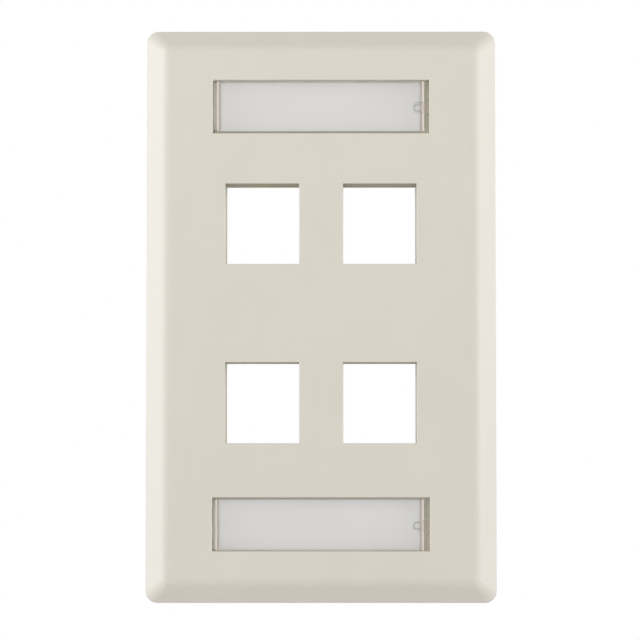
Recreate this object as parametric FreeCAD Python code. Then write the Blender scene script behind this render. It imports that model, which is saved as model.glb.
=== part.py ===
import FreeCAD, Part
import math
import os

# A single-gang wall faceplate for four keystone jacks, with two label windows.
#
# Millimetres. X runs to the right seen from the front, Y into the wall, Z up. The origin is the
# middle of the flat rear rim, which lies on the wall at Y = 0. Depths are measured from the front
# face towards the wall, so a depth of 0 is the front face.

# ---- plate outline and section ----
PLATE_WIDTH = 69.85            # single-gang plate, 2.75 in
PLATE_HEIGHT = 114.3           # 4.5 in
PLATE_DEPTH = 6.4              # rear rim to front face
CORNER_RADIUS = 2.35           # plan radius of the rim's corners
RIM_HEIGHT = 2.5               # upright part of the edge, before the bevel starts
BEVEL_INSET = 3.9              # plan width of the bevel before its edges are rounded
FACE_CORNER_RADIUS = 1.4       # plan radius where the bevel meets the face
FACE_EDGE_RADIUS = 2.6         # rolled edge between the face and the bevel
RIM_EDGE_RADIUS = 0.6          # small round between the bevel and the upright rim
WALL = 2.0                     # thickness of the face and of the rim wall
RIM_DRAFT = 0.1                # how much the rim wall thickens towards the face
CAVITY_CORNER_RADIUS = 1.0

# ---- keystone ports ----
PORT_WIDTH = 14.7              # at the face
PORT_DRAFT = 0.1               # each side wall closes in by this much towards the rear
PORT_HEIGHT = 16.05
PORT_COLUMNS = (-11.7, 11.7)
PORT_ROWS = (18.15, -17.45)
PORT_DEPTH = 9.4               # front face to the rear of the housing
HOUSING_WALL = 1.6
HOUSING_CORNER_RADIUS = 0.8
LUG_RECESS = 2.0               # height of the recess for the jack's fixed lug, above the opening
LUG_RECESS_START = 6.5         # its depth from the front face
LATCH_RECESS = 4.0             # height of the recess for the jack's latch, below the opening
LATCH_RECESS_START = 4.0
LATCH_OVERHANG = 2.0           # how far the latch's ledge stands into that recess
LEDGE_START = 8.0              # both ledges run from this depth to the rear of the housing
LUG_LEAD_IN = 0.5              # chamfers on the rear edges of the ledges
LATCH_LEAD_IN = 1.0
PORT_EDGE_BREAK = 0.1          # chamfer where the opening meets the face

# ---- label windows ----
WINDOW_SPACING = 83.04         # between the middles of the two pockets
POCKET_WIDTH = 43.1
POCKET_HEIGHT = 10.6
POCKET_DEPTH = 2.2
POCKET_EDGE_BREAK = 0.15       # chamfer where the pocket meets the face
TRAY_FLOOR = 1.4               # thickness of the pocket's floor
TRAY_WALL = 1.4
TRAY_CORNER_RADIUS = 1.0
LIP_THICKNESS = 1.0            # plastic left in front of the undercuts at the pocket's ends
LIP_ROUND = 0.3                # round on the left lip's rear edge, which the cover hinges on
TONGUE_SLOT_REACH = 1.05       # undercut in the pocket's left end
TONGUE_SLOT_HEIGHT = 9.8
CATCH_GROOVE_REACH = 0.5       # undercut in the pocket's right end
CATCH_GROOVE_HEIGHT = 3.8
HINGE_X = -POCKET_WIDTH / 2 - LIP_ROUND        # the covers turn about a line along Z through
HINGE_DEPTH = LIP_THICKNESS - LIP_ROUND        # this point, the middle of the lip's round

COVER_WIDTH = 41.4
COVER_HEIGHT = 10.1
COVER_THICKNESS = 1.5
COVER_SUNK = 0.15              # the cover's front lies this far behind the plate's face
COVER_CORNER_RADIUS = 0.3
COVER_EDGE_BREAK = 0.12
COVER_SHIFT = {"top": (-0.1, 0.1), "bottom": (-0.3, -0.1)}   # X and Z, within the cover's play
FOOT_REACH = 0.5               # end feet, from the back of the window down to the pocket's floor
FOOT_WIDTH = 0.45
TONGUE_HEIGHT = 9.4
TONGUE_THICKNESS = 0.55
TONGUE_LENGTH = 1.4            # past the cover's left end
CATCH_CLEARANCE = 0.03         # the catch tab ends this far from the pocket's right end
CATCH_THICKNESS = 0.4
CATCH_HEIGHT = 3.0
NOTCH_RADIUS = 1.0             # notch for a screwdriver's tip, open to the cover's right end
NOTCH_LENGTH = 2.2
NOTCH_DEPTH = 0.95
NOTCH_DROP = 0.2               # how far its middle lies below the cover's

LABEL_WIDTH = 39.5
LABEL_HEIGHT = 9.8
LABEL_THICKNESS = 0.3
LABEL_CORNER_RADIUS = 0.3

# ---- mounting screws, 6-32 flat head ----
SCREW_SPACING = 83.34          # the wall box's tapped holes, 3.281 in
SCREW_HOLE_RADIUS = 2.05
THREAD_RADIUS = 1.75
NECK_RADIUS = 1.5
HEAD_RADIUS = 3.45
HEAD_EDGE = 0.3                # straight edge of the head, above its cone
HEAD_SUNK = 0.1                # the head's top lies this far below the pocket's floor
HEAD_CONE_ANGLE = 82.0
SCREW_LENGTH = 19.0
TIP_CHAMFER = 0.6
SLOT_WIDTH = 1.2
SLOT_DEPTH = 1.0
BOSS_RADIUS = 5.0
BOSS_END = 5.9                 # depth of the boss's rear end, just inside the rim
THREAD_START = 6.2             # depth where the thread starts, clear of the boss

# ---- stiffening ribs behind the face ----
RIB_THICKNESS = 1.2
RIB_END = 5.2                  # depth of the ribs' rear edges, inside the rim
LONG_RIB_X = 26.4

TINY = 0.01                    # overlap that makes two solids fuse into one


# ---- helpers ----
def y_at(depth):
    """Y of a plane that lies `depth` behind the front face."""
    return depth - PLATE_DEPTH


def box(x_range, depth_range, z_range):
    """Box between two X values, two depths and two Z values."""
    (x0, x1), (d0, d1), (z0, z1) = x_range, depth_range, z_range
    corner = FreeCAD.Vector(x0, y_at(d0), z0)
    return Part.makeBox(x1 - x0, d1 - d0, z1 - z0, corner)


def around(middle, size):
    """The range of the given size around a middle value."""
    return middle - size / 2, middle + size / 2


def rounded_rectangle(width, height, radius, depth, centre=(0.0, 0.0)):
    """Wire of a rectangle with round corners, in the plane at this depth."""
    y = y_at(depth)
    cx, cz = centre
    half_w, half_h = width / 2, height / 2
    edges = []
    corners = [(1, -1, 270), (1, 1, 0), (-1, 1, 90), (-1, -1, 180)]
    arcs = []
    for side_x, side_z, start in corners:
        middle = (cx + side_x * (half_w - radius), cz + side_z * (half_h - radius))
        points = []
        for angle in (start, start + 45, start + 90):
            turn = math.radians(angle)
            points.append(FreeCAD.Vector(middle[0] + radius * math.cos(turn), y,
                                         middle[1] + radius * math.sin(turn)))
        arcs.append(points)
    for k, points in enumerate(arcs):
        edges.append(Part.Arc(*points).toShape())
        edges.append(Part.LineSegment(points[2], arcs[(k + 1) % 4][0]).toShape())
    return Part.Wire(edges)


def loft(wires):
    """Solid with straight sides through a stack of outlines."""
    return Part.makeLoft(wires, True, True)


def rounded_block(width, height, radius, depth_range, centre=(0.0, 0.0)):
    """Upright block with round corners between two depths."""
    return loft([rounded_rectangle(width, height, radius, d, centre) for d in depth_range])


def edges_in_plane(shape, depth, inside=None):
    """The edges that lie in the plane at this depth, optionally within an X-Z window."""
    y = y_at(depth)
    found = []
    for edge in shape.Edges:
        room = edge.BoundBox
        if abs(room.YMin - y) > 1e-4 or abs(room.YMax - y) > 1e-4:
            continue
        if inside:
            (x0, x1), (z0, z1) = inside
            if room.XMin < x0 or room.XMax > x1 or room.ZMin < z0 or room.ZMax > z1:
                continue
        found.append(edge)
    return found


# ---- faceplate ----
def plate_body():
    """Outer form: upright rim, bevel with mitred corners and a rolled edge to the face."""
    rim_top = PLATE_DEPTH - RIM_HEIGHT
    outline = [
        rounded_rectangle(PLATE_WIDTH, PLATE_HEIGHT, CORNER_RADIUS, PLATE_DEPTH),
        rounded_rectangle(PLATE_WIDTH, PLATE_HEIGHT, CORNER_RADIUS, rim_top),
        rounded_rectangle(PLATE_WIDTH - 2 * BEVEL_INSET, PLATE_HEIGHT - 2 * BEVEL_INSET,
                          FACE_CORNER_RADIUS, 0),
    ]
    body = loft(outline)
    body = body.makeFillet(FACE_EDGE_RADIUS, edges_in_plane(body, 0))
    return body.makeFillet(RIM_EDGE_RADIUS, edges_in_plane(body, rim_top))


def plate_cavity():
    """Hollow behind the face, parallel to the outer form."""
    rim_top = PLATE_DEPTH - RIM_HEIGHT
    slope = math.atan2(rim_top, BEVEL_INSET)
    rear_inset = WALL
    front_inset = WALL + RIM_DRAFT
    # the sloping wall is the bevel's plane moved inwards by the wall's thickness
    start_x, start_depth = WALL * math.sin(slope), rim_top + WALL * math.cos(slope)
    knee_depth = start_depth - (front_inset - start_x) * math.tan(slope)
    end_inset = start_x + (start_depth - WALL) / math.tan(slope)
    sections = [
        (rear_inset, PLATE_DEPTH),
        (front_inset, knee_depth),
        (end_inset, WALL),
    ]
    wires = []
    for inset, depth in sections:
        wires.append(rounded_rectangle(PLATE_WIDTH - 2 * inset, PLATE_HEIGHT - 2 * inset,
                                       CAVITY_CORNER_RADIUS, depth))
    return loft(wires)


def port_section(row):
    """Y-Z outline of the room inside a port, with both recesses and the ledges' lead-ins."""
    top, bottom = row + PORT_HEIGHT / 2, row - PORT_HEIGHT / 2
    latch_ledge = bottom - LATCH_RECESS + LATCH_OVERHANG
    front, rear = -TINY, PORT_DEPTH + TINY
    points = [
        (front, top),
        (LUG_RECESS_START, top),
        (LUG_RECESS_START, top + LUG_RECESS),
        (LEDGE_START, top + LUG_RECESS),
        (LEDGE_START, top),
        (PORT_DEPTH - LUG_LEAD_IN, top),
        (rear, top + LUG_LEAD_IN + TINY),
        (rear, latch_ledge - LATCH_LEAD_IN - TINY),
        (PORT_DEPTH - LATCH_LEAD_IN, latch_ledge),
        (LEDGE_START, latch_ledge),
        (LEDGE_START, bottom - LATCH_RECESS),
        (LATCH_RECESS_START, bottom - LATCH_RECESS),
        (LATCH_RECESS_START, bottom),
        (front, bottom),
    ]
    return points


def port_room(column, row):
    """The solid that is cut out of the plate for one jack, its sides tapered by the draft."""
    left = column - PORT_WIDTH / 2
    corners = [FreeCAD.Vector(left, y_at(depth), z) for depth, z in port_section(row)]
    section = Part.Face(Part.makePolygon(corners + corners[:1]))
    room = section.extrude(FreeCAD.Vector(PORT_WIDTH, 0, 0))
    widths = ((-TINY, PORT_WIDTH), (PORT_DEPTH + TINY, PORT_WIDTH - 2 * PORT_DRAFT))
    # the taper is twice the port's height, so that only its two sides meet the room
    taper = loft([rounded_rectangle(width, 2 * PORT_HEIGHT, HOUSING_CORNER_RADIUS, depth,
                                    (column, row)) for depth, width in widths])
    return room.common(taper)


def port_housing(column, row):
    """The moulded collar behind the face that holds one jack."""
    top = row + PORT_HEIGHT / 2 + LUG_RECESS + HOUSING_WALL
    bottom = row - PORT_HEIGHT / 2 - LATCH_RECESS - HOUSING_WALL
    width = PORT_WIDTH + 2 * HOUSING_WALL
    return rounded_block(width, top - bottom, HOUSING_CORNER_RADIUS, (WALL - TINY, PORT_DEPTH),
                         (column, (top + bottom) / 2))


def window_middle(place):
    """Z of the middle of the top or the bottom label window."""
    return WINDOW_SPACING / 2 if place == "top" else -WINDOW_SPACING / 2


def cover_middle(place):
    """X and Z of the middle of a cover and its label, which lie where their play lets them."""
    shift_x, shift_z = COVER_SHIFT[place]
    return shift_x, window_middle(place) + shift_z


def screw_middle(place):
    """Z of the top or the bottom screw's axis."""
    return SCREW_SPACING / 2 if place == "top" else -SCREW_SPACING / 2


def label_tray(place):
    """The back of a label pocket: its walls and floor, and the boss for the screw."""
    z = window_middle(place)
    width = POCKET_WIDTH + 2 * (TONGUE_SLOT_REACH + TRAY_WALL)
    height = POCKET_HEIGHT + 2 * TRAY_WALL
    tray = rounded_block(width, height, TRAY_CORNER_RADIUS,
                         (WALL - TINY, POCKET_DEPTH + TRAY_FLOOR), (0, z))
    boss_length = BOSS_END - POCKET_DEPTH
    start = FreeCAD.Vector(0, y_at(POCKET_DEPTH), screw_middle(place))
    boss = Part.makeCylinder(BOSS_RADIUS, boss_length, start, FreeCAD.Vector(0, 1, 0))
    return tray.fuse(boss)


def hinge_cylinder(radius, z, length):
    """Cylinder about a cover's hinge line."""
    start = FreeCAD.Vector(HINGE_X, y_at(HINGE_DEPTH), z - length / 2)
    return Part.makeCylinder(radius, length, start, FreeCAD.Vector(0, 0, 1))


def pocket_room(place):
    """The solid that is cut out of the plate for one label, its cover and its screw."""
    z = window_middle(place)
    half = POCKET_WIDTH / 2
    behind_lip = (LIP_THICKNESS, POCKET_DEPTH)
    room = box((-half, half), (-TINY, POCKET_DEPTH), around(z, POCKET_HEIGHT))
    slot_height = around(z, TONGUE_SLOT_HEIGHT)
    slot = box((-half - TONGUE_SLOT_REACH, -half + TINY), behind_lip, slot_height)
    lip_corner = box((HINGE_X, -half + TINY), (HINGE_DEPTH, LIP_THICKNESS + TINY), slot_height)
    lip_corner = lip_corner.cut(hinge_cylinder(LIP_ROUND, z, TONGUE_SLOT_HEIGHT + 2 * TINY))
    groove = box((half - TINY, half + CATCH_GROOVE_REACH), behind_lip,
                 around(z, CATCH_GROOVE_HEIGHT))
    return room.fuse([slot, lip_corner, groove, screw_hole(screw_middle(place))])


def cone_depth(radius):
    """How far below the wide end of the screw head's cone it has narrowed to this radius."""
    return (HEAD_RADIUS - radius) / math.tan(math.radians(HEAD_CONE_ANGLE / 2))


def turned(profile, z):
    """Solid turned about the line through (0, z) along Y, from (radius, depth) points."""
    points = [FreeCAD.Vector(radius, y_at(depth), z) for radius, depth in profile]
    outline = Part.Face(Part.makePolygon(points + points[:1]))
    return outline.revolve(FreeCAD.Vector(0, 0, z), FreeCAD.Vector(0, 1, 0), 360)


def screw_hole(z):
    """Countersunk hole through a pocket's floor and boss."""
    head_top = POCKET_DEPTH + HEAD_SUNK
    cone_start = head_top + HEAD_EDGE
    cone_end = cone_start + cone_depth(SCREW_HOLE_RADIUS)
    return turned([
        (0, POCKET_DEPTH - TINY),
        (HEAD_RADIUS, POCKET_DEPTH - TINY),
        (HEAD_RADIUS, cone_start),
        (SCREW_HOLE_RADIUS, cone_end),
        (SCREW_HOLE_RADIUS, BOSS_END + TINY),
        (0, BOSS_END + TINY),
    ], z)


def ribs():
    """Thin walls that stiffen the face between the rim, the housings and the label trays."""
    depths = (WALL - TINY, RIB_END)
    half_w, half_h = PLATE_WIDTH / 2 - WALL, PLATE_HEIGHT / 2 - WALL
    outer = max(PORT_COLUMNS) + PORT_WIDTH / 2 + HOUSING_WALL
    inner = max(PORT_COLUMNS) - PORT_WIDTH / 2 - HOUSING_WALL
    found = []
    for row in PORT_ROWS:
        wide = around(row, RIB_THICKNESS)
        found.append(box((-half_w, -outer + TINY), depths, wide))
        found.append(box((outer - TINY, half_w), depths, wide))
        found.append(box((-inner - TINY, inner + TINY), depths, wide))
    for x in PORT_COLUMNS + (-LONG_RIB_X, LONG_RIB_X):
        found.append(box(around(x, RIB_THICKNESS), depths, (-half_h, half_h)))
    return found


def faceplate():
    """The whole moulding."""
    outer = plate_body()
    shell = outer.cut(plate_cavity())
    inside_only = [piece.common(outer) for piece in ribs()]
    added = inside_only + [label_tray(place) for place in ("top", "bottom")]
    ports = [(column, row) for column in PORT_COLUMNS for row in PORT_ROWS]
    added += [port_housing(column, row) for column, row in ports]
    plate = shell.fuse(added)
    rooms = [port_room(column, row) for column, row in ports]
    rooms += [pocket_room(place) for place in ("top", "bottom")]
    plate = plate.cut(Part.makeCompound(rooms)).removeSplitter()
    return break_front_edges(plate)


def break_front_edges(plate):
    """Small chamfers where the face meets the ports and the label pockets."""
    port_edges, pocket_edges = [], []
    for column in PORT_COLUMNS:
        for row in PORT_ROWS:
            reach = (around(column, PORT_WIDTH + 1), around(row, PORT_HEIGHT + 1))
            port_edges += edges_in_plane(plate, 0, reach)
    for place in ("top", "bottom"):
        reach = (around(0, POCKET_WIDTH + 2), around(window_middle(place), POCKET_HEIGHT + 1))
        pocket_edges += edges_in_plane(plate, 0, reach)
    plate = plate.makeChamfer(PORT_EDGE_BREAK, port_edges)
    return plate.makeChamfer(POCKET_EDGE_BREAK, pocket_edges)


# ---- label covers and labels ----
def tongue(left, back, z):
    """The cover's tongue, with a hollow seat that turns about the round of the pocket's lip."""
    seat = back - TONGUE_THICKNESS - HINGE_DEPTH     # radius of the hollow
    tip, root, low = left - TONGUE_LENGTH, left + TINY, z - TONGUE_HEIGHT / 2

    def at(x, depth):
        return FreeCAD.Vector(x, y_at(depth), low)

    half_turn = seat * math.sqrt(0.5)
    hollow = Part.Arc(at(HINGE_X, HINGE_DEPTH + seat),
                      at(HINGE_X + half_turn, HINGE_DEPTH + half_turn),
                      at(HINGE_X + seat, HINGE_DEPTH)).toShape()
    rest = Part.makePolygon([at(HINGE_X + seat, HINGE_DEPTH), at(root, HINGE_DEPTH),
                             at(root, back), at(tip, back), at(tip, HINGE_DEPTH + seat),
                             at(HINGE_X, HINGE_DEPTH + seat)])
    outline = Part.Face(Part.Wire([hollow] + rest.Edges))
    return outline.extrude(FreeCAD.Vector(0, 0, TONGUE_HEIGHT))


def driver_notch(right, z):
    """Room for a screwdriver's tip: a slot with a half-round left end."""
    centre_x, depths = right - NOTCH_LENGTH + NOTCH_RADIUS, (0, COVER_SUNK + NOTCH_DEPTH)
    start = FreeCAD.Vector(centre_x, y_at(depths[0]), z)
    end = Part.makeCylinder(NOTCH_RADIUS, depths[1], start, FreeCAD.Vector(0, 1, 0))
    run = box((centre_x, right + NOTCH_RADIUS), depths, around(z, 2 * NOTCH_RADIUS))
    return end.fuse(run).removeSplitter()


def label_cover(place):
    """Clear cover: window, end feet, a tongue at the left, and a notch and a catch at the right."""
    x, z = cover_middle(place)
    left, right = around(x, COVER_WIDTH)
    back = COVER_SUNK + COVER_THICKNESS
    window = rounded_block(COVER_WIDTH, COVER_HEIGHT, COVER_CORNER_RADIUS, (COVER_SUNK, back),
                           (x, z))
    window = window.cut(driver_notch(right, z - NOTCH_DROP))
    window = window.makeChamfer(COVER_EDGE_BREAK, edges_in_plane(window, COVER_SUNK))
    feet_height = COVER_HEIGHT - 2 * COVER_CORNER_RADIUS
    foot_depths = (back - TINY, back + FOOT_REACH)
    catch_end = POCKET_WIDTH / 2 - CATCH_CLEARANCE
    pieces = [
        box((left, left + FOOT_WIDTH), foot_depths, around(z, feet_height)),
        box((right - FOOT_WIDTH, right), foot_depths, around(z, feet_height)),
        tongue(left, back, z),
        box((right - TINY, catch_end), (back - CATCH_THICKNESS, back), around(z, CATCH_HEIGHT)),
    ]
    return window.fuse(pieces).removeSplitter()


def label(place):
    """Strip of card on the pocket's floor."""
    return rounded_block(LABEL_WIDTH, LABEL_HEIGHT, LABEL_CORNER_RADIUS,
                         (POCKET_DEPTH - LABEL_THICKNESS, POCKET_DEPTH), cover_middle(place))


# ---- screws ----
def mounting_screw(place):
    """Flat-head screw with a slot, its cone seated in the pocket's countersink."""
    z = screw_middle(place)
    head_top = POCKET_DEPTH + HEAD_SUNK
    cone_start = head_top + HEAD_EDGE
    tip = head_top + SCREW_LENGTH
    screw = turned([
        (0, head_top),
        (HEAD_RADIUS, head_top),
        (HEAD_RADIUS, cone_start),
        (NECK_RADIUS, cone_start + cone_depth(NECK_RADIUS)),
        (NECK_RADIUS, THREAD_START - (THREAD_RADIUS - NECK_RADIUS)),
        (THREAD_RADIUS, THREAD_START),
        (THREAD_RADIUS, tip - TIP_CHAMFER),
        (THREAD_RADIUS - TIP_CHAMFER, tip),
        (0, tip),
    ], z)
    slot = box((-HEAD_RADIUS, HEAD_RADIUS), (head_top - TINY, head_top + SLOT_DEPTH),
               around(z, SLOT_WIDTH))
    return screw.cut(slot)


# ---- files ----
def single_solid(shape, name):
    """The one solid of a shape; a piece that came apart is an error."""
    solids = shape.Solids
    if len(solids) != 1 or not solids[0].isValid():
        raise RuntimeError(f"{name}: {len(solids)} solids, valid {[s.isValid() for s in solids]}")
    return solids[0]


def main():
    """Write one STEP file per piece."""
    pieces = {"faceplate": faceplate()}
    for place in ("top", "bottom"):
        pieces[f"{place}_label_cover"] = label_cover(place)
        pieces[f"{place}_label"] = label(place)
        pieces[f"{place}_mounting_screw"] = mounting_screw(place)
    os.makedirs("parts", exist_ok=True)
    for name, shape in pieces.items():
        solid = single_solid(shape, name)
        solid.exportStep(f"parts/{name}.step")
        print(f"{name}: {solid.Volume:.1f} mm3, {len(solid.Faces)} faces")


main()
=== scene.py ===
# %% [markdown]
# # A keystone faceplate in its studio
# The object is a wall plate for four network jacks: one ivory moulding, two clear label covers over
# blank cards, and a screw under each label. Everything with a real size comes from the packed
# model; this script adds the finishes, the screw threads and the mould marks, the light and the
# camera. Lengths are in metres, X to the right, Y into the wall, Z up.

# %% Load the frame
import math

import bmesh
import bpy
from mathutils import Matrix, Vector


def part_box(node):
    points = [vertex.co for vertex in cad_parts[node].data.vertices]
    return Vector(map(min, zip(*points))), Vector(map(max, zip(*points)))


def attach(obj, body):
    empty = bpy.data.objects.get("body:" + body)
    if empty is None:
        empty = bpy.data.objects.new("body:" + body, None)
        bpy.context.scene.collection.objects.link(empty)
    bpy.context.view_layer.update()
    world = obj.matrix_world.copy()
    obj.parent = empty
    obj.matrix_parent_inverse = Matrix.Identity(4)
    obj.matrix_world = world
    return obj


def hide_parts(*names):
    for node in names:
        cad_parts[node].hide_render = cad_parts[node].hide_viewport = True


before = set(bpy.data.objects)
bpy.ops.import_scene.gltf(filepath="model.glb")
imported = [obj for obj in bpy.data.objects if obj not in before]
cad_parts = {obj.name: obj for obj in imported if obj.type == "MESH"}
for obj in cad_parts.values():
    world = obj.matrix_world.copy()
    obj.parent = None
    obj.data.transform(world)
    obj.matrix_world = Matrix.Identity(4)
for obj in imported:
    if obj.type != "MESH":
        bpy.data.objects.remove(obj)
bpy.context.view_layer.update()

MM = 0.001
PLACES = ("top", "bottom")
plate_low, plate_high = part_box("faceplate")
FACE_Y = plate_low.y


def in_millimetres(low, high):
    """The size of a box, for printing."""
    return [round((b - a) / MM, 2) for a, b in zip(low, high)]


print("plate", in_millimetres(plate_low, plate_high), "mm")

# %% [markdown]
# ## Camera
# A long lens from 0.6 m keeps the plate almost free of perspective, and just enough is left to show
# the ceilings of the openings. The camera stands a little below the plate's middle and looks up at
# it. The aim is worked out with `to_track_quat`, which turns a direction into a rotation, so the
# position and the target stay readable.

# %% Place the camera
CAMERA_DISTANCE = 0.600
CAMERA_PLACE = (2.5 * MM, -34.0 * MM)      # to the right of the plate's middle, and below it
CAMERA_AIM = (-0.20 * MM, -1.05 * MM)      # the point of the face that it looks at
CAMERA_LENS = 170.35
CAMERA_CLIP = (0.01, 20)


def in_scene(thing):
    """Put an object in the scene and give it back."""
    bpy.context.scene.collection.objects.link(thing)
    return thing


camera = in_scene(bpy.data.objects.new("camera", bpy.data.cameras.new("camera")))
bpy.context.scene.camera = camera
camera.location = (CAMERA_PLACE[0], FACE_Y - CAMERA_DISTANCE, CAMERA_PLACE[1])
aim = Vector((CAMERA_AIM[0], FACE_Y, CAMERA_AIM[1])) - camera.location
camera.rotation_euler = aim.to_track_quat("-Z", "Y").to_euler()
camera.data.lens = CAMERA_LENS
camera.data.clip_start, camera.data.clip_end = CAMERA_CLIP
print("camera looks up by", round(math.degrees(math.asin(aim.normalized().z)), 2), "degrees")

# %% [markdown]
# ## Nodes as sums
# The world, the materials and the two Geometry Nodes trees are all nodes joined by links. Each
# helper adds one node or a small sum of them, takes sockets or plain numbers, and gives back the
# output socket, so sums nest the way they are written on paper. The world needs the first few.

# %% Helpers for nodes
def wire(tree, output, socket):
    """Short name for joining two sockets."""
    tree.links.new(output, socket)


def feed(tree, socket, value):
    """Join an input to a socket, or set it to a plain number or colour."""
    if isinstance(value, bpy.types.NodeSocket):
        wire(tree, value, socket)
    else:
        socket.default_value = (*value, 1) if socket.type == "RGBA" else value


def math_node(tree, operation, *values):
    """A math node; the operation is Blender's name for it."""
    node = tree.nodes.new("ShaderNodeMath")
    node.operation = operation
    for socket, value in zip(node.inputs, values):
        feed(tree, socket, value)
    return node.outputs[0]


def blend(tree, factor, first, second):
    """The first value where the factor is zero, the second where it is one."""
    rest = math_node(tree, "SUBTRACT", 1.0, factor)
    return math_node(tree, "ADD", math_node(tree, "MULTIPLY", first, rest),
                     math_node(tree, "MULTIPLY", second, factor))


def remap(tree, value, source, target=(0.0, 1.0), smooth=False):
    """A value moved from one range to another and held inside it."""
    node = tree.nodes.new("ShaderNodeMapRange")
    node.interpolation_type = "SMOOTHSTEP" if smooth else "LINEAR"
    node.inputs["From Min"].default_value, node.inputs["From Max"].default_value = source
    node.inputs["To Min"].default_value, node.inputs["To Max"].default_value = target
    wire(tree, value, node.inputs["Value"])
    return node.outputs["Result"]


def coordinates(tree, kind):
    """A texture coordinate: Object is the place in the frame, Normal the way a surface faces."""
    return tree.nodes.new("ShaderNodeTexCoord").outputs[kind]


def split(tree, vector):
    """X, Y and Z of a vector."""
    node = tree.nodes.new("ShaderNodeSeparateXYZ")
    wire(tree, vector, node.inputs[0])
    return [node.outputs[axis] for axis in "XYZ"]


# %% [markdown]
# ## Studio
# Such plates are best shown between two tall softboxes that stand almost in the plane of the face,
# so the bevels on the left and right shine while the flat face stays even. The face gets its light
# from one near lamp in front and above, which also makes it fall off a little downwards, and one
# behind picks out the ribs on the back. The plate stands over a white table before a white wall:
# to the camera, in reflections and through glass the world is plain white, and as a light it is
# bright from below, dimmer from above and dim from behind. A Light Path node tells the two apart,
# and the direction of the ray gives below, above and behind.

# %% Light the scene
bpy.context.scene.view_settings.view_transform = "Standard"
ROOM_LIGHT = 0.44              # what the room gives from above
TABLE_LIGHT = 0.92             # what the white table throws up from below
TABLE_RANGE = (-0.4, 0.4)      # where the table ends and the room is full, by the direction's Z
BACKDROP_LIGHT = 0.15          # what the wall behind the plate gives
BACKDROP_RANGE = (0.5, 0.95)   # where the wall starts and is full, by the direction's Y


def light_the_world():
    """White where it is seen; as a light, bright from below and dim from behind."""
    world = bpy.data.worlds.new("studio")
    bpy.context.scene.world = world
    world.use_nodes = True
    tree = world.node_tree
    rays = tree.nodes.new("ShaderNodeLightPath").outputs
    seen = math_node(tree, "MAXIMUM", rays["Is Camera Ray"], rays["Is Glossy Ray"])
    seen = math_node(tree, "MAXIMUM", seen, rays["Is Transmission Ray"])
    _, y, z = split(tree, coordinates(tree, "Generated"))
    room = remap(tree, z, TABLE_RANGE, (TABLE_LIGHT, ROOM_LIGHT), smooth=True)
    behind = remap(tree, y, BACKDROP_RANGE, smooth=True)
    level = blend(tree, seen, blend(tree, behind, room, BACKDROP_LIGHT), 1.0)
    background = tree.nodes["Background"]
    background.inputs["Color"].default_value = (1, 1, 1, 1)
    wire(tree, level, background.inputs["Strength"])


def softbox(name, azimuth, elevation, distance, size, power, colour=(1, 1, 1)):
    """A rectangular lamp that looks at the plate from a direction given in degrees."""
    lamp = bpy.data.lights.new(name, "AREA")
    lamp.shape = "RECTANGLE"
    lamp.size, lamp.size_y = size
    lamp.energy = power
    lamp.color = colour
    turn, lift = math.radians(azimuth), math.radians(elevation)
    out = Vector((math.sin(turn) * math.cos(lift), -math.cos(turn) * math.cos(lift),
                  math.sin(lift)))
    stand = in_scene(bpy.data.objects.new(name, lamp))
    stand.location = out * distance
    stand.rotation_euler = (-out).to_track_quat("-Z", "Y").to_euler()


light_the_world()
softbox("left_softbox", azimuth=-82, elevation=8, distance=1.3, size=(0.5, 1.0), power=8.8,
        colour=(0.945, 1.0, 1.11))
softbox("right_softbox", azimuth=80, elevation=6, distance=1.3, size=(0.5, 1.0), power=8.5,
        colour=(0.975, 1.0, 1.08))
softbox("front_lamp", azimuth=-12, elevation=20, distance=0.8, size=(0.5, 0.8), power=1.5,
        colour=(1.02, 1.0, 0.97))
softbox("back_lamp", azimuth=150, elevation=22, distance=1.2, size=(0.4, 0.4), power=3.4)

# %% [markdown]
# ## Shared effects
# Moulded plastic, card and plated steel all owe their look to something fine: a spark-eroded mould
# leaves a grain, card has fibres, plating has a mottle. One node group makes all three. It is a
# noise at the size of the grain, a second, far larger noise that shifts tone and gloss in soft
# clouds, and sparse flecks. A group is built once and each material turns its knobs, so the
# surfaces belong together and one edit reaches them all.

# %% Fine surface group
FLECK_SCALE = 0.35             # of the grain's scale, so flecks are about three grains wide
FLECK_EDGE = 0.06              # how far over its limit the noise is where a fleck is full


def group_sockets(group, inputs, outputs):
    """Named sockets of a shader node group."""
    for name, kind, value in inputs:
        made = group.interface.new_socket(name=name, in_out="INPUT", socket_type=kind)
        if value is not None:
            made.default_value = value
    for name, kind in outputs:
        group.interface.new_socket(name=name, in_out="OUTPUT", socket_type=kind)


def noise(tree, place, scale, detail, roughness=0.5):
    """Noise texture read at a vector."""
    node = tree.nodes.new("ShaderNodeTexNoise")
    node.inputs["Detail"].default_value = detail
    node.inputs["Roughness"].default_value = roughness
    wire(tree, place, node.inputs["Vector"])
    wire(tree, scale, node.inputs["Scale"])
    return node.outputs["Fac"]


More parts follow.
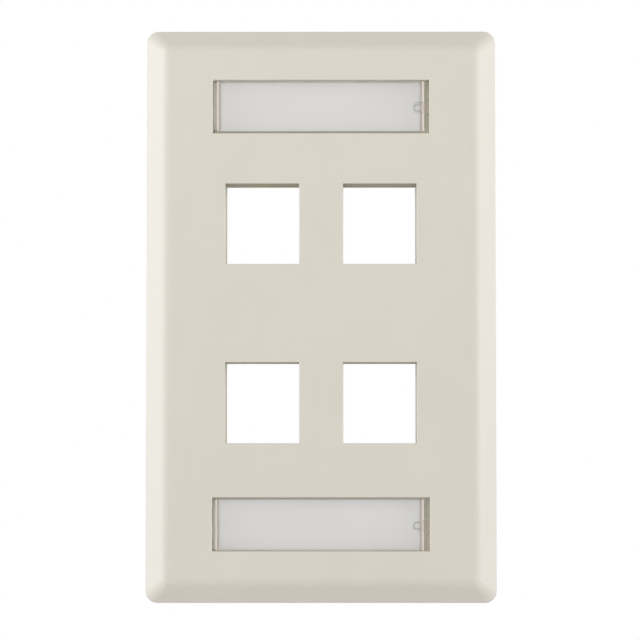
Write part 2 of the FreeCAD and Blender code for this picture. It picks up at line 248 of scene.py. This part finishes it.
def fine_surface_group():
    """Grain height, soft clouds and flecks, all as values from 0 to 1."""
    group = bpy.data.node_groups.new("fine_surface", "ShaderNodeTree")
    group_sockets(group, [
        ("Place", "NodeSocketVector", None),
        ("Grain Scale", "NodeSocketFloat", 3000.0),
        ("Cloud Scale", "NodeSocketFloat", 60.0),
        ("Fleck Limit", "NodeSocketFloat", 0.7),
    ], [("Grain", "NodeSocketFloat"), ("Cloud", "NodeSocketFloat"), ("Fleck", "NodeSocketFloat")])
    start = group.nodes.new("NodeGroupInput").outputs
    end = group.nodes.new("NodeGroupOutput").inputs
    place, grain_scale = start["Place"], start["Grain Scale"]
    wire(group, noise(group, place, grain_scale, detail=3.0, roughness=0.6), end["Grain"])
    wire(group, noise(group, place, start["Cloud Scale"], detail=4.0), end["Cloud"])
    fleck_scale = math_node(group, "MULTIPLY", grain_scale, FLECK_SCALE)
    over = math_node(group, "SUBTRACT", noise(group, place, fleck_scale, detail=0.0),
                     start["Fleck Limit"])
    wire(group, remap(group, over, (0.0, FLECK_EDGE), smooth=True), end["Fleck"])
    return group


FINE_SURFACE = fine_surface_group()
print("group", FINE_SURFACE.name, "gives", [s.name for s in FINE_SURFACE.interface.items_tree
                                            if s.in_out == "OUTPUT"])

# %% [markdown]
# ## Finishes
# Every finish starts the same way: a Principled shader whose fixed numbers sit on its own sockets,
# the fine surface group read at Object coordinates, and three places where the group reaches the
# shader: the tone, the roughness and a very low bump. The helper below wires that much, and each
# material then adds what is its own.

# %% Helpers for finishes
CLOUD_RANGE = (0.3, 0.7)       # the middle part of the cloud noise, which holds most of it


def mixed(tree, factor, first, second, way="MIX"):
    """Two colours mixed, or multiplied, by a factor."""
    node = tree.nodes.new("ShaderNodeMix")
    node.data_type, node.blend_type = "RGBA", way
    wire(tree, factor, node.inputs["Factor"])
    colours = [socket for socket in node.inputs if socket.type == "RGBA"]
    for socket, value in zip(colours, (first, second)):
        feed(tree, socket, value)
    return next(socket for socket in node.outputs if socket.type == "RGBA")


def set_fixed(shader, **values):
    """Numbers and colours that are the same all over, on the shader's own sockets."""
    for name, value in values.items():
        shader.inputs[name.replace("_", " ")].default_value = value


def fine_finish(name, dark, light, rough, grain, cloud, bump, stretch=(1, 1, 1)):
    """Material with the fine surface on it; gives it with its tree, shader, group and bump."""
    material = bpy.data.materials.new(name)
    material.use_nodes = True
    tree = material.node_tree
    shader = tree.nodes["Principled BSDF"]
    place = tree.nodes.new("ShaderNodeMapping")
    place.inputs["Scale"].default_value = stretch
    wire(tree, coordinates(tree, "Object"), place.inputs["Vector"])
    surface = tree.nodes.new("ShaderNodeGroup")
    surface.node_tree = FINE_SURFACE
    surface.inputs["Grain Scale"].default_value = grain
    surface.inputs["Cloud Scale"].default_value = cloud
    wire(tree, place.outputs["Vector"], surface.inputs["Place"])
    clouds = surface.outputs["Cloud"]
    tone = mixed(tree, remap(tree, clouds, CLOUD_RANGE), dark, light)
    wire(tree, tone, shader.inputs["Base Color"])
    wire(tree, remap(tree, clouds, CLOUD_RANGE, rough), shader.inputs["Roughness"])
    relief = tree.nodes.new("ShaderNodeBump")
    relief.inputs["Strength"].default_value, relief.inputs["Distance"].default_value = bump
    wire(tree, surface.outputs["Grain"], relief.inputs["Height"])
    wire(tree, relief.outputs["Normal"], shader.inputs["Normal"])
    return material, tree, shader, surface, relief


# %% [markdown]
# ## Ivory plastic
# The plate is moulded in one shot of ivory ABS in a mould with a fine spark-eroded finish. The
# plastic is a little warm and evenly satin. Its tone drifts by a few parts in a hundred where the
# melt flowed differently, which the clouds give, and the grain blurs the highlights on the bevels.
# Inside the four openings light only arrives by bouncing from ivory to ivory, and each bounce makes
# it warmer and weaker. A path tracer cuts the long paths short, so a mask makes the ceilings of the
# openings, which get nothing else, darker and warmer, and the walls on the left a little, because
# the lamp that faces them stands far round.

# %% Ivory plastic
OPENING_X = 11.7 * MM                        # the openings' middles, left and right
OPENING_ROWS = (18.15 * MM, -17.45 * MM)
OPENING_HALF = (7.45 * MM, 8.15 * MM)        # half the width and height, with a hair to spare
SHADE_DEPTH = (0.1 * MM, 1.2 * MM)           # behind the face, where the shade starts and is full
SHADE_TONE = (0.47, 0.43, 0.28)
LEFT_WALL_SHADE = 0.35                       # of what the ceilings get
FACING = (0.3, 0.8)                          # parts of a normal that count as none and as all


def band(tree, value, low, high, soft=0.06 * MM):
    """One between two limits and zero outside them, with soft sides."""
    rise = remap(tree, value, (low - soft / 2, low + soft / 2), smooth=True)
    fall = remap(tree, value, (high - soft / 2, high + soft / 2), (1.0, 0.0), smooth=True)
    return math_node(tree, "MULTIPLY", rise, fall)


def tint(tree, shader, mask, tone):
    """Multiply a shader's base colour by a tone where the mask is one."""
    base = shader.inputs["Base Color"]
    wire(tree, mixed(tree, mask, base.links[0].from_socket, tone, way="MULTIPLY"), base)


def ivory_plastic():
    """The moulding's plastic, shaded inside the openings."""
    material, tree, shader, *_ = fine_finish(
        "ivory_moulding", dark=(0.702, 0.662, 0.572), light=(0.722, 0.682, 0.592),
        rough=(0.50, 0.58), grain=3200.0, cloud=70.0, bump=(0.25, 0.02 * MM))
    set_fixed(shader, IOR=1.53)
    x, y, z = split(tree, coordinates(tree, "Object"))
    half_width, half_height = OPENING_HALF
    beside = math_node(tree, "SUBTRACT", math_node(tree, "ABSOLUTE", x), OPENING_X)
    across = band(tree, beside, -half_width, half_width)
    rows = [band(tree, z, row - half_height, row + half_height) for row in OPENING_ROWS]
    deep = remap(tree, y, [FACE_Y + depth for depth in SHADE_DEPTH], smooth=True)
    inside = math_node(tree, "MULTIPLY", math_node(tree, "MAXIMUM", *rows), across)
    inside = math_node(tree, "MULTIPLY", inside, deep)
    facing_x, _, facing_z = split(tree, coordinates(tree, "Normal"))
    ceilings = remap(tree, facing_z, (-FACING[1], -FACING[0]), (1.0, 0.0), smooth=True)
    left_walls = remap(tree, facing_x, FACING, (0.0, LEFT_WALL_SHADE), smooth=True)
    walls = math_node(tree, "MAXIMUM", ceilings, left_walls)
    tint(tree, shader, math_node(tree, "MULTIPLY", inside, walls), SHADE_TONE)
    return material


ivory = ivory_plastic()
print(ivory.name, "shades openings at", [round(row / MM, 2) for row in OPENING_ROWS], "mm")

# %% [markdown]
# ## Label card
# The blank labels are cut from white card. Its fibres lie along the web, so the grain is stretched
# along X by reading the noise through a Mapping node with a small X scale. Card has almost no
# gloss.

# %% Label card
card = fine_finish(
    "label_card_fibre", dark=(0.653, 0.645, 0.641), light=(0.683, 0.675, 0.671),
    rough=(0.82, 0.90), grain=2600.0, cloud=150.0, bump=(0.3, 0.02 * MM), stretch=(0.3, 1, 1))[0]
print(card.name, "has", len(card.node_tree.nodes), "nodes")

# %% [markdown]
# ## Clear covers
# The label covers are polished polycarbonate, and what shows of them is their edges. A cover stands
# on two short feet, one at each end. Light falls straight down through a foot and comes back, so it
# is a bright strip, and the rounded corner behind it bends the view away and draws a dark line. The
# walls of the driver notch draw one as well, and the gaps at the ends lie in shade. Modelled glass
# gives a little of this, and the rest is quicker and calmer as painted light and shade in masks: a
# Mapping node puts zero in the cover's middle, and each mask is one where a distance falls between
# two limits. The masks tint the glass darker as painted shade on the lines, the notch and the
# tongue and the catch past the feet, which lie over the gaps, and on the feet a cream shader is
# mixed in as a painted bright strip.

# %% Masks for the covers
COVER_LENGTH = 41.4 * MM
COVER_MIDDLE = {"top": -0.1 * MM, "bottom": -0.3 * MM}      # X, as the covers lie in their pockets
FOOT = 0.45 * MM             # how wide a foot is, along X
CORNER_LINE = 0.32 * MM      # how wide the dark line behind it looks
END_EDGE = 0.08 * MM         # how softly the tint past the feet starts
CATCH_REACH = 1.0 * MM       # more than the catch stands out past its foot
NOTCH_RADIUS = 0.8 * MM      # of the line that is drawn, just inside the wall
NOTCH_LENGTH = 2.2 * MM      # from the cover's right end
NOTCH_DROP = 0.2 * MM        # how far the notch lies below the cover's middle
NOTCH_LINE = 0.32 * MM


def hypotenuse(tree, across, along):
    """The distance of a point that lies this far across and this far along."""
    squares = [math_node(tree, "POWER", side, 2.0) for side in (across, along)]
    return math_node(tree, "SQRT", math_node(tree, "ADD", *squares))


def cover_masks(tree, place):
    """Masks of one cover, by name; "past" is the tongue and the catch, and "catch" that alone."""
    low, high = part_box(f"{place}_label_cover")
    centred = tree.nodes.new("ShaderNodeMapping")
    centred.inputs["Location"].default_value = (-COVER_MIDDLE[place], 0, -(low.z + high.z) / 2)
    wire(tree, coordinates(tree, "Object"), centred.inputs["Vector"])
    x, _, z = split(tree, centred.outputs["Vector"])
    end = COVER_LENGTH / 2
    foot_start = end - FOOT
    line_start = foot_start - CORNER_LINE
    reach = math_node(tree, "ABSOLUTE", x)
    # the notch is a slot with a round end: the distance is measured from its middle line
    round_end = end - NOTCH_LENGTH + NOTCH_RADIUS
    ahead = math_node(tree, "MAXIMUM", math_node(tree, "SUBTRACT", round_end, x), 0.0)
    away = hypotenuse(tree, ahead, math_node(tree, "ADD", z, NOTCH_DROP))
    outline = band(tree, away, NOTCH_RADIUS - NOTCH_LINE, NOTCH_RADIUS)
    before_foot = band(tree, x, 0.0, line_start)
    # the masks place painted light and shade: a bright strip on the feet, dark lines and dim ends
    return {
        "feet": band(tree, reach, foot_start, end),
        "lines": band(tree, reach, line_start, foot_start),
        "past": remap(tree, reach, (end, end + END_EDGE), smooth=True),
        "catch": band(tree, x, end, end + CATCH_REACH),
        "notch": math_node(tree, "MULTIPLY", outline, before_foot),
    }


# %% [markdown]
# ## Glass that lets the lamps through
# A Principled shader with full transmission gives gloss and bent edges, but glass blocks lamps in a
# path tracer, so the card under it would go dark. For shadow and diffuse rays a Transparent shader
# takes its place: the Light Path node picks between the two. Light that entered a cover from the
# front can't leave through its side walls, because it meets them too flat and is thrown back, so
# the gaps round a real cover are dark. The Transparent colour copies that: clear where the surface
# faces front or back, and darker where a ray comes in through a side, which Backfacing tells.
# Handling leaves faint smears, so the roughness drifts a little.

# %% Clear covers
POLYCARBONATE_IOR = 1.585
# painted shade: dark tints for the lines behind the feet, the tongue and catch over the gaps, and
# the notch
PAINTED_SHADE_TONES = {"lines": (0.80, 0.76, 0.76), "past": (0.84, 0.80, 0.72),
               "catch": (0.74, 0.70, 0.66), "notch": (0.70, 0.70, 0.72)}
PAINTED_FOOT_SHARE = 0.6                          # of the cream shader on the feet, which paints their bright strip
FRONT_TONE = (0.93, 0.93, 0.93)            # what passes through the front and back
LONG_SIDE_TONE = (0.75, 0.73, 0.66)        # what passes in through the long sides
SHORT_SIDE_TONE = (0.35, 0.33, 0.27)       # and through the short ones, at the ends


def mixed_shaders(tree, factor, first, second):
    """One shader where the factor is zero, the other where it is one."""
    node = tree.nodes.new("ShaderNodeMixShader")
    for socket, value in zip(node.inputs, (factor, first, second)):
        wire(tree, value, socket)
    return node.outputs[0]


def glass_with_feet(tree, shader, masks):
    """The cover as it is seen: glass with painted shade, and a painted bright strip on its feet."""
    for name, tone in PAINTED_SHADE_TONES.items():
        tint(tree, shader, masks[name], tone)
    # a cream shader mixed onto the feet is a painted bright strip, for the light coming back up
    # through them
    foot_highlight = tree.nodes.new("ShaderNodeBsdfPrincipled")
    set_fixed(foot_highlight, Base_Color=(0.80, 0.74, 0.66, 1), Roughness=0.35, IOR=POLYCARBONATE_IOR)
    foot_highlight_share = math_node(tree, "MULTIPLY", masks["feet"], PAINTED_FOOT_SHARE)
    return mixed_shaders(tree, foot_highlight_share, shader.outputs[0], foot_highlight.outputs[0])


def glass_for_light(tree):
    """The cover as the light meets it, which goes through without bending."""
    facing_x, facing_y, _ = split(tree, coordinates(tree, "Normal"))
    flat, short = (remap(tree, math_node(tree, "ABSOLUTE", part), FACING, smooth=True)
                   for part in (facing_y, facing_x))
    sides = mixed(tree, short, LONG_SIDE_TONE, SHORT_SIDE_TONE)
    leaving = tree.nodes.new("ShaderNodeNewGeometry").outputs["Backfacing"]
    clear_way = math_node(tree, "MAXIMUM", flat, leaving)
    passing = tree.nodes.new("ShaderNodeBsdfTransparent")
    wire(tree, mixed(tree, clear_way, sides, FRONT_TONE), passing.inputs["Color"])
    return passing.outputs[0]


def clear_cover(place):
    """The material of one cover, with its masks in its own middle."""
    material, tree, shader, *_ = fine_finish(
        f"{place}_clear_cover", dark=(0.97, 0.97, 0.96), light=(0.99, 0.99, 0.98),
        rough=(0.03, 0.08), grain=900.0, cloud=90.0, bump=(0.03, 0.01 * MM))
    set_fixed(shader, IOR=POLYCARBONATE_IOR, Transmission_Weight=1.0)
    body = glass_with_feet(tree, shader, cover_masks(tree, place))
    rays = tree.nodes.new("ShaderNodeLightPath").outputs
    light = math_node(tree, "MAXIMUM", rays["Is Shadow Ray"], rays["Is Diffuse Ray"])
    wire(tree, mixed_shaders(tree, light, body, glass_for_light(tree)),
         tree.nodes["Material Output"].inputs["Surface"])
    return material


clear = {place: clear_cover(place) for place in PLACES}
print("covers get", [material.name for material in clear.values()])

# %% [markdown]
# ## Zinc-plated steel
# The mounting screws are headed, thread-rolled and zinc plated. Plating is a soft grey mirror with
# a mottle and dull flecks, and the die leaves rings on the head. The rings are a sine of the
# distance from the screw's axis. Both screws share one material: taking the absolute height before
# subtracting half the screw spacing measures each from its own axis.

# %% Screw steel
screw_low, screw_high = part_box("top_mounting_screw")
SCREW_Z = (screw_low.z + screw_high.z) / 2
RING_PITCH = 0.12 * MM
RING_RELIEF = 0.25             # of the rings, beside 1 for the grain
FLECK_LIMIT = 0.58
FLECK_TONE = (0.72, 0.70, 0.66)


def screw_steel():
    """Plated steel with rings about each screw's axis."""
    material, tree, shader, surface, relief = fine_finish(
        "zinc_plated_steel", dark=(0.56, 0.56, 0.55), light=(0.66, 0.66, 0.64),
        rough=(0.28, 0.42), grain=5000.0, cloud=900.0, bump=(0.25, 0.01 * MM))
    set_fixed(shader, Metallic=1.0)
    x, _, z = split(tree, coordinates(tree, "Object"))
    height = math_node(tree, "SUBTRACT", math_node(tree, "ABSOLUTE", z), SCREW_Z)
    turns = math_node(tree, "MULTIPLY", hypotenuse(tree, x, height), 2 * math.pi / RING_PITCH)
    rings = math_node(tree, "MULTIPLY", math_node(tree, "SINE", turns), RING_RELIEF)
    wire(tree, math_node(tree, "ADD", rings, surface.outputs["Grain"]), relief.inputs["Height"])
    surface.inputs["Fleck Limit"].default_value = FLECK_LIMIT
    tint(tree, shader, surface.outputs["Fleck"], FLECK_TONE)
    return material


steel = screw_steel()
print("screw axes at", round(SCREW_Z / MM, 2), "mm above and below the middle")

# %% [markdown]
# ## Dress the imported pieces
# The shapes of the plate, the covers and the labels are right as they are, so only their material
# slots change. Their meshes stay untouched.

# %% Give the pieces their finishes
def dress(piece, material):
    """Put one material in every slot of a piece."""
    for slot in piece.material_slots:
        slot.material = material
    if not piece.material_slots:
        piece.data.materials.append(material)


dress(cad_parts["faceplate"], ivory)
for place in PLACES:
    dress(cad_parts[f"{place}_label_cover"], clear[place])
    dress(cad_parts[f"{place}_label"], card)
print("dressed", len(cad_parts), "packed pieces but for the screws")

# %% [markdown]
# ## Threaded screws
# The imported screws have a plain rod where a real 6-32 screw has its thread. A thread is a helix,
# and it follows a simple rule: walk round the rod and the groove climbs by one pitch a turn. So a
# Geometry Nodes tree takes a finely divided cylinder and sets the radius of each point from its
# height and its angle. The height over the pitch less the angle over a full turn is the phase in
# the thread, and a triangle wave with its top and bottom cut off is the profile. Near the tip the
# radius is also held under the chamfer's cone, and at the other end the groove runs out into the
# neck.

# %% Helpers for Geometry Nodes
def geometry_sockets(tree, floats):
    """Geometry in and out, and named float inputs with their values; gives their identifiers."""
    tree.interface.new_socket(name="Geometry", in_out="INPUT", socket_type="NodeSocketGeometry")
    names = {}
    for name, value in floats.items():
        made = tree.interface.new_socket(name=name, in_out="INPUT", socket_type="NodeSocketFloat")
        made.default_value = value
        names[name] = made.identifier
    made = tree.interface.new_socket(name="Material", in_out="INPUT",
                                     socket_type="NodeSocketMaterial")
    names["Material"] = made.identifier
    tree.interface.new_socket(name="Geometry", in_out="OUTPUT", socket_type="NodeSocketGeometry")
    return names


def vector_of(tree, *parts):
    """A vector from its X, Y and Z."""
    node = tree.nodes.new("ShaderNodeCombineXYZ")
    for socket, value in zip(node.inputs, parts):
        feed(tree, socket, value)
    return node.outputs[0]


def point_place(tree):
    """X, Y and Z of the point that a Geometry Nodes tree is at."""
    return split(tree, tree.nodes.new("GeometryNodeInputPosition").outputs[0])


def moved(tree, mesh, *place):
    """The mesh with its points set to a new X, Y and Z."""
    node = tree.nodes.new("GeometryNodeSetPosition")
    wire(tree, mesh, node.inputs["Geometry"])
    wire(tree, vector_of(tree, *place), node.inputs["Position"])
    return node.outputs["Geometry"]


def finish_tree(tree, start, geometry):
    """The last two nodes of every tree here: real geometry, with its material on it."""
    real = tree.nodes.new("GeometryNodeRealizeInstances")
    paint = tree.nodes.new("GeometryNodeSetMaterial")
    wire(tree, geometry, real.inputs[0])
    wire(tree, real.outputs[0], paint.inputs["Geometry"])
    wire(tree, start["Material"], paint.inputs["Material"])
    wire(tree, paint.outputs[0], tree.nodes.new("NodeGroupOutput").inputs[0])


# %% Thread tree
THREAD_RADIUS = 1.75 * MM
ROOT_RADIUS = 1.36 * MM
PITCH = 25.4 / 32 * MM
NECK_RADIUS = 1.5 * MM
TIP_RADIUS = 1.15 * MM
FLANKS = (0.12, 0.88)          # the part of the wave between the flats of root and crest
POINTS_AROUND = 36
RINGS_PER_TURN = 9


def thread_radius(tree, start, height, turn):
    """Radius of the thread at a height and a share of a turn, with its run-out and its tip."""
    climbed = math_node(tree, "DIVIDE", height, start["Pitch"])
    phase = math_node(tree, "FRACT", math_node(tree, "SUBTRACT", climbed, turn))
    wave = math_node(tree, "SUBTRACT", math_node(tree, "MULTIPLY", phase, 2.0), 1.0)
    profile = remap(tree, math_node(tree, "ABSOLUTE", wave), FLANKS)
    depth = math_node(tree, "SUBTRACT", start["Crest Radius"], start["Root Radius"])
    thread = math_node(tree, "ADD", start["Root Radius"],
                       math_node(tree, "MULTIPLY", profile, depth))
    # the run-out: over the first pitch the radius blends from the neck's to the thread's
    entry = math_node(tree, "MINIMUM", climbed, 1.0)
    thread = blend(tree, entry, start["Neck Radius"], thread)
    cone = math_node(tree, "ADD", start["Tip Radius"],
                     math_node(tree, "SUBTRACT", start["Length"], height))
    return math_node(tree, "MINIMUM", thread, cone)


def thread_tree():
    """A rod along Z from 0 to its length, with a rolled thread on it."""
    tree = bpy.data.node_groups.new("rolled_thread", "GeometryNodeTree")
    names = geometry_sockets(tree, {"Length": 0.015, "Pitch": PITCH, "Crest Radius": THREAD_RADIUS,
                                    "Root Radius": ROOT_RADIUS, "Tip Radius": TIP_RADIUS,
                                    "Neck Radius": NECK_RADIUS})
    start = tree.nodes.new("NodeGroupInput").outputs
    rod = tree.nodes.new("GeometryNodeMeshCylinder")
    rod.inputs["Vertices"].default_value = POINTS_AROUND
    rod.inputs["Radius"].default_value = 1.0
    turns = math_node(tree, "DIVIDE", start["Length"], start["Pitch"])
    rings = math_node(tree, "CEIL", math_node(tree, "MULTIPLY", turns, RINGS_PER_TURN))
    wire(tree, rings, rod.inputs["Side Segments"])
    wire(tree, start["Length"], rod.inputs["Depth"])
    x, y, z = point_place(tree)
    height = math_node(tree, "ADD", z, math_node(tree, "MULTIPLY", start["Length"], 0.5))
    turn = math_node(tree, "DIVIDE", math_node(tree, "ARCTAN2", y, x), 2 * math.pi)
    radius = thread_radius(tree, start, height, turn)
    # the rod's own radius is 1, so its X and Y only have to be scaled
    flat = [math_node(tree, "MULTIPLY", side, radius) for side in (x, y)]
    finish_tree(tree, start, moved(tree, rod.outputs["Mesh"], *flat, height))
    return tree, names


THREAD_TREE, THREAD_INPUTS = thread_tree()
print("thread pitch", round(PITCH / MM, 3), "mm,", round((THREAD_RADIUS - ROOT_RADIUS) / MM, 2),
      "mm deep")

# %% [markdown]
# ## Grow the threads and join them to the heads
# The head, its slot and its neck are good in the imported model. A merged copy of the screw is cut
# across the neck, its front is kept, and the new thread is set on the cut. The thread's mesh is
# turned so that its Z runs into the wall, with plain `Matrix` maths on the mesh, because a finished
# piece keeps its object at the origin.

# %% Make the threaded screws
NECK_CUT = FACE_Y + 5.85 * MM      # Y of the cut, on the straight neck and inside the boss
SAME_POINT = 0.001 * MM            # points closer than this are merged
Z_INTO_WALL = Matrix.Rotation(-math.pi / 2, 4, "X")


def grown(name, points, tree, inputs, values):
    """Plain mesh made by a tree on a set of points; the modifier doesn't outlive this call."""
    mesh = bpy.data.meshes.new(name)
    mesh.from_pydata([tuple(p) for p in points], [], [])
    seed = in_scene(bpy.data.objects.new(name + "_seed", mesh))
    modifier = seed.modifiers.new("grow", "NODES")
    modifier.node_group = tree
    for key, value in values.items():
        modifier[inputs[key]] = value
    bpy.context.view_layer.update()
    ready = seed.evaluated_get(bpy.context.evaluated_depsgraph_get())
    result = bpy.data.meshes.new_from_object(ready)
    bpy.data.objects.remove(seed)
    result.name = name
    return result


def screw_front(node):
    """Merged copy of a packed screw, kept from its head to the cut in the neck."""
    form = bmesh.new()
    form.from_mesh(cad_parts[node].data)
    bmesh.ops.remove_doubles(form, verts=form.verts, dist=SAME_POINT)
    bmesh.ops.bisect_plane(form, geom=form.verts[:] + form.edges[:] + form.faces[:],
                           plane_co=(0, NECK_CUT, 0), plane_no=(0, 1, 0), clear_outer=True)
    return form


def threaded_screw(place):
    """The screw with a real thread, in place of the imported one."""
    node = f"{place}_mounting_screw"
    low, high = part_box(node)
    length = high.y - NECK_CUT
    thread = grown(f"{place}_thread", [(0, 0, 0)], THREAD_TREE, THREAD_INPUTS,
                   {"Length": length, "Material": steel})
    thread.transform(Matrix.Translation((0, NECK_CUT, (low.z + high.z) / 2)) @ Z_INTO_WALL)
    form = screw_front(node)
    form.from_mesh(thread)
    mesh = bpy.data.meshes.new(f"{place}_threaded_screw")
    form.to_mesh(mesh)
    form.free()
    mesh.materials.append(steel)
    for face in mesh.polygons:
        face.material_index = 0
    screw = in_scene(bpy.data.objects.new(f"{place}_threaded_screw", mesh))
    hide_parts(node)
    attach(screw, "plate")
    print(screw.name, len(mesh.polygons), "faces, thread", round(length / MM, 2), "mm long,",
          round(length / PITCH, 1), "turns")


for place in PLACES:
    threaded_screw(place)

# %% [markdown]
# ## Mould marks
# Pins push a moulding out of its mould, and each leaves a round mark on the back, a hair proud of
# the surface with a shallow dish in it. They sit where the plate is stiff: beside the housings,
# between the ribs and on the label trays. One Geometry Nodes tree turns a point into a mark: the
# rings of a cone are laid flat, and each takes its height from its distance to the middle. Instance
# on Points repeats it.

# %% Mark tree
MARK_RADIUS = 1.9 * MM
MARK_HEIGHT = 0.07 * MM
MARK_POINTS = 40                   # round the rim
MARK_RINGS = 6
MARK_TOP, DISH_EDGE = 0.83, 0.5    # shares of the radius: the full height, and the end of the slope
MARK_FOOT = -0.6                   # the rim lies this share of the height under the surface
DISH_DROP = 0.55                   # and the dish this share under the top


def mark_tree():
    """A dished round mark, facing into the wall, on every point."""
    tree = bpy.data.node_groups.new("ejector_marks", "GeometryNodeTree")
    names = geometry_sockets(tree, {"Radius": MARK_RADIUS, "Height": MARK_HEIGHT})
    start = tree.nodes.new("NodeGroupInput").outputs
    disc = tree.nodes.new("GeometryNodeMeshCone")
    disc.inputs["Vertices"].default_value = MARK_POINTS
    disc.inputs["Side Segments"].default_value = MARK_RINGS
    disc.inputs["Radius Top"].default_value = 0.0
    wire(tree, start["Radius"], disc.inputs["Radius Bottom"])
    wire(tree, start["Radius"], disc.inputs["Depth"])
    x, y, _ = point_place(tree)
    share = math_node(tree, "DIVIDE", hypotenuse(tree, x, y), start["Radius"])
    edge = remap(tree, share, (1.0, MARK_TOP), (MARK_FOOT, 1.0), smooth=True)
    dish = remap(tree, share, (MARK_TOP, DISH_EDGE), (0.0, DISH_DROP), smooth=True)
    profile = math_node(tree, "SUBTRACT", edge, dish)
    height = math_node(tree, "MULTIPLY", profile, start["Height"])
    copies = tree.nodes.new("GeometryNodeInstanceOnPoints")
    wire(tree, start["Geometry"], copies.inputs["Points"])
    wire(tree, moved(tree, disc.outputs["Mesh"], x, y, height), copies.inputs["Instance"])
    finish_tree(tree, start, copies.outputs["Instances"])
    return tree, names


MARK_TREE, MARK_INPUTS = mark_tree()
print(MARK_TREE.name, "takes", list(MARK_INPUTS))

# %% Place the marks
BACK_OF_FACE = FACE_Y + 2.0 * MM      # the flat behind the face
BACK_OF_TRAY = FACE_Y + 3.6 * MM      # the flat behind a label pocket
# X and Z in millimetres, each for the right-hand side and mirrored to the left
FACE_MARKS = [(23.3, 25.0), (23.3, 8.0), (23.3, -8.0), (23.3, -26.0), (7.2, -0.6), (7.2, 32.4)]
TRAY_MARKS = [(17.6, 41.5), (17.6, -41.5)]


def mould_marks():
    """All the marks as one piece on the plate."""
    # the tree works in a flat X-Y world with Z up; a quarter turn makes its Z the plate's Y
    points = []
    for spots, y in ((FACE_MARKS, BACK_OF_FACE), (TRAY_MARKS, BACK_OF_TRAY)):
        for x, z in spots:
            points += [(side * x * MM, -z * MM, y) for side in (-1, 1)]
    mesh = grown("ejector_marks", points, MARK_TREE, MARK_INPUTS, {"Material": ivory})
    mesh.transform(Z_INTO_WALL)
    marks = in_scene(bpy.data.objects.new("ejector_marks", mesh))
    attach(marks, "plate")
    print("marks", len(points), "with", len(mesh.polygons), "faces")


mould_marks()

# %% [markdown]
# ## Floor
# The plate hangs on a wall in use, so the floor lies well below it and only shows in other views.
# It fades into the white behind it: a radial mask mixes its diffuse shader with a transparent one.

# %% Lay the floor
FLOOR_DROP = 0.15                  # below the plate's middle
FLOOR_RADIUS = 1.0
FLOOR_FADE = (0.45 * FLOOR_RADIUS, 0.98 * FLOOR_RADIUS)
FLOOR_CORNERS = 96


def floor_material():
    """Pale paper that fades out towards its rim."""
    material, tree, shader, *_ = fine_finish(
        "floor_paper", dark=(0.85, 0.85, 0.85), light=(0.87, 0.87, 0.87),
        rough=(0.88, 0.95), grain=900.0, cloud=8.0, bump=(0.1, 0.1 * MM))
    reach = tree.nodes.new("ShaderNodeVectorMath")
    reach.operation = "LENGTH"
    wire(tree, coordinates(tree, "Object"), reach.inputs[0])
    fade = remap(tree, reach.outputs["Value"], FLOOR_FADE, smooth=True)
    nothing = tree.nodes.new("ShaderNodeBsdfTransparent").outputs[0]
    wire(tree, mixed_shaders(tree, fade, shader.outputs[0], nothing),
         tree.nodes["Material Output"].inputs["Surface"])
    return material


bpy.ops.mesh.primitive_circle_add(vertices=FLOOR_CORNERS, radius=FLOOR_RADIUS, fill_type="NGON",
                                  location=(0, 0, -FLOOR_DROP))
floor = bpy.context.object
floor.name = "floor"
floor.data.materials.append(floor_material())
print("floor lies", round((plate_low.z + FLOOR_DROP) / MM), "mm below the plate")
